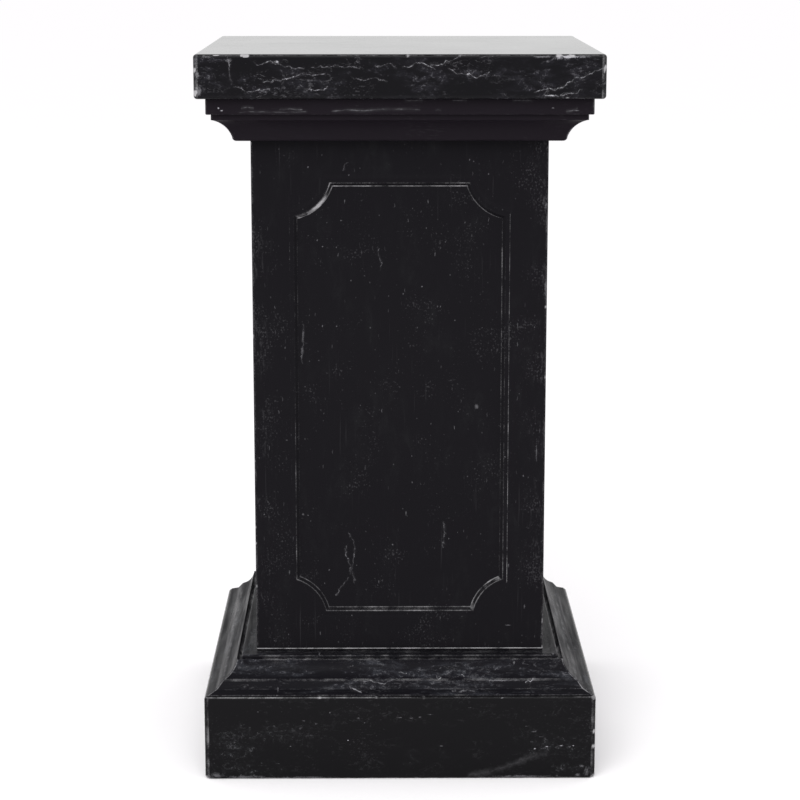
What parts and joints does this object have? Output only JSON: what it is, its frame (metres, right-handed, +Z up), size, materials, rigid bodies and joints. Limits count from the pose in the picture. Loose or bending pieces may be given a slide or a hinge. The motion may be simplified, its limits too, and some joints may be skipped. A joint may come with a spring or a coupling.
{
  "type": "square marble pedestal",
  "caption": "Square black marble pedestal: plain plinth, moulded base, shaft with a sunk scooped-corner panel on each face, moulded cap and wide flat top slab for a statue or vase.",
  "frame": {"origin": "centre of the plinth's underside, on the floor", "axes": "+Z up along the pedestal's axis, -Y towards the front face shown in the picture, +X to its right"},
  "size_m": [0.496, 0.496, 0.914],
  "materials": {
    "black_marble": "polished, with hairline white veins, grey clouds and pale worn arrises"
  },
  "bodies": {
    "root": {"plinth": "black_marble", "base_moulding": "black_marble", "shaft": "black_marble", "cap_moulding": "black_marble", "top_slab": "black_marble"}
  },
  "joints": []
}
